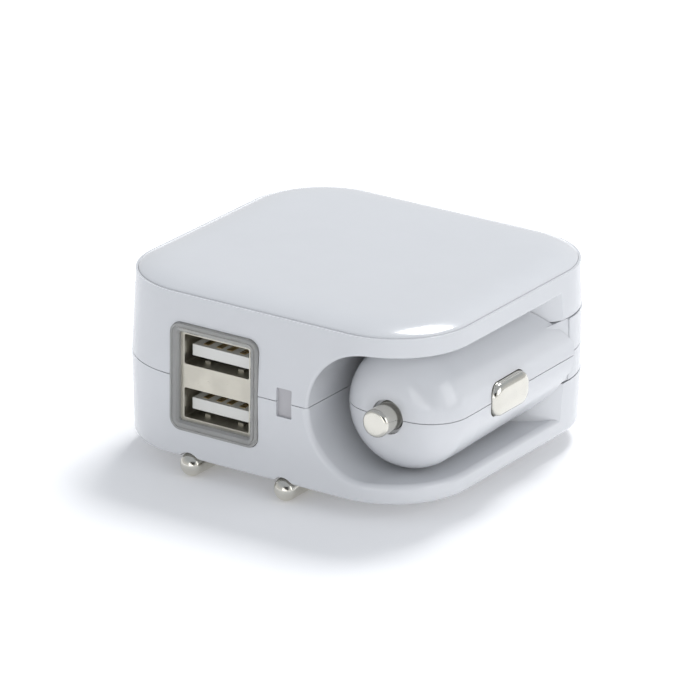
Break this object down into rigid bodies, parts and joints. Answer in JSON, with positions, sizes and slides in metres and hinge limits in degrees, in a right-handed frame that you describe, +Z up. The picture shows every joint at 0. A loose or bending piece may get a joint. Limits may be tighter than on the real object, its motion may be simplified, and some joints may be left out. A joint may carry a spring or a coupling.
{
  "type": "folding wall and car USB charger",
  "caption": "White rounded-square wall and car USB charger with stacked USB-A sockets, folding round mains pins and a car plug that swings out of a recess in one side.",
  "frame": {"origin": "on the floor, under the middle of the whole folded charger", "axes": "+Z up, -Y out of the USB sockets, +X towards the side that the car plug folds into"},
  "size_m": [0.0644, 0.0597, 0.0326],
  "materials": {
    "gloss_white": "gloss",
    "clear_plastic": "clear gloss",
    "nickel": "satin nickel plate",
    "white_insulator": "matte",
    "gilt_contact": "gold flash",
    "chrome": "polished",
    "brass": "satin",
    "steel": "satin",
    "glass_tube": "gloss",
    "circuit_board": "solder resist",
    "ferrite": "matte",
    "winding_tape": "satin tape",
    "can_sleeve": "gloss sleeve",
    "black_epoxy": "matte"
  },
  "bodies": {
    "case": {"upper_shell": "gloss_white", "lower_shell": "gloss_white", "top_cover": "gloss_white", "usb_bezel": "clear_plastic", "led_light_pipe": "clear_plastic", "usb_shell": "nickel", "usb_tongue_upper": "white_insulator", "usb_tongue_lower": "white_insulator", "status_led": "white_insulator", "usb_contacts_upper": "gilt_contact", "usb_contacts_lower": "gilt_contact", "hinge_washer_upper": "brass", "hinge_washer_lower": "brass", "ac_contact_left": "brass", "ac_contact_right": "brass", "hinge_pin": "steel", "pin_axle": "steel", "board_screws": "steel", "main_board": "circuit_board", "transformer_core": "ferrite", "buck_inductor": "ferrite", "transformer_winding": "winding_tape", "input_capacitor": "can_sleeve", "output_capacitors": "can_sleeve", "bridge_rectifier": "black_epoxy", "controller_chip": "black_epoxy", "mains_fuse": "black_epoxy"},
    "car_plug": {"plug_upper_shell": "gloss_white", "plug_lower_shell": "gloss_white", "hinge_ring_upper": "brass", "hinge_ring_lower": "brass", "tip_spring": "steel", "plug_fuse": "glass_tube", "side_spring_outer": "steel", "side_spring_inner": "steel"},
    "plug_tip": {"tip_contact": "chrome"},
    "outer_side_contact": {"side_contact_outer": "chrome"},
    "inner_side_contact": {"side_contact_inner": "chrome"},
    "mains_pins": {"pin_carrier": "white_insulator", "ac_pin_left": "chrome", "ac_pin_right": "chrome"}
  },
  "joints": [
    {"name": "car_plug_hinge", "type": "hinge", "parent": "case", "child": "car_plug", "pos_m": [0.01905, 0.01845, 0.01799], "axis": [0, 0, 1], "range_deg": [0, 90]},
    {"name": "tip_press", "type": "slide", "parent": "car_plug", "child": "plug_tip", "axis": [0, 1, 0], "range_m": [0, 0.0025], "stiffness_N_per_m": 600, "springref_m": -0.001},
    {"name": "outer_side_press", "type": "slide", "parent": "car_plug", "child": "outer_side_contact", "axis": [-1, 0, 0], "range_m": [0, 0.0011], "stiffness_N_per_m": 600, "springref_m": -0.0005},
    {"name": "inner_side_press", "type": "slide", "parent": "car_plug", "child": "inner_side_contact", "axis": [1, 0, 0], "range_m": [0, 0.0005], "stiffness_N_per_m": 600, "springref_m": -0.0005},
    {"name": "mains_pins_fold", "type": "hinge", "parent": "case", "child": "mains_pins", "pos_m": [-0.00525, -0.00865, 0.00534], "axis": [1, 0, 0], "range_deg": [0, 90]}
  ]
}
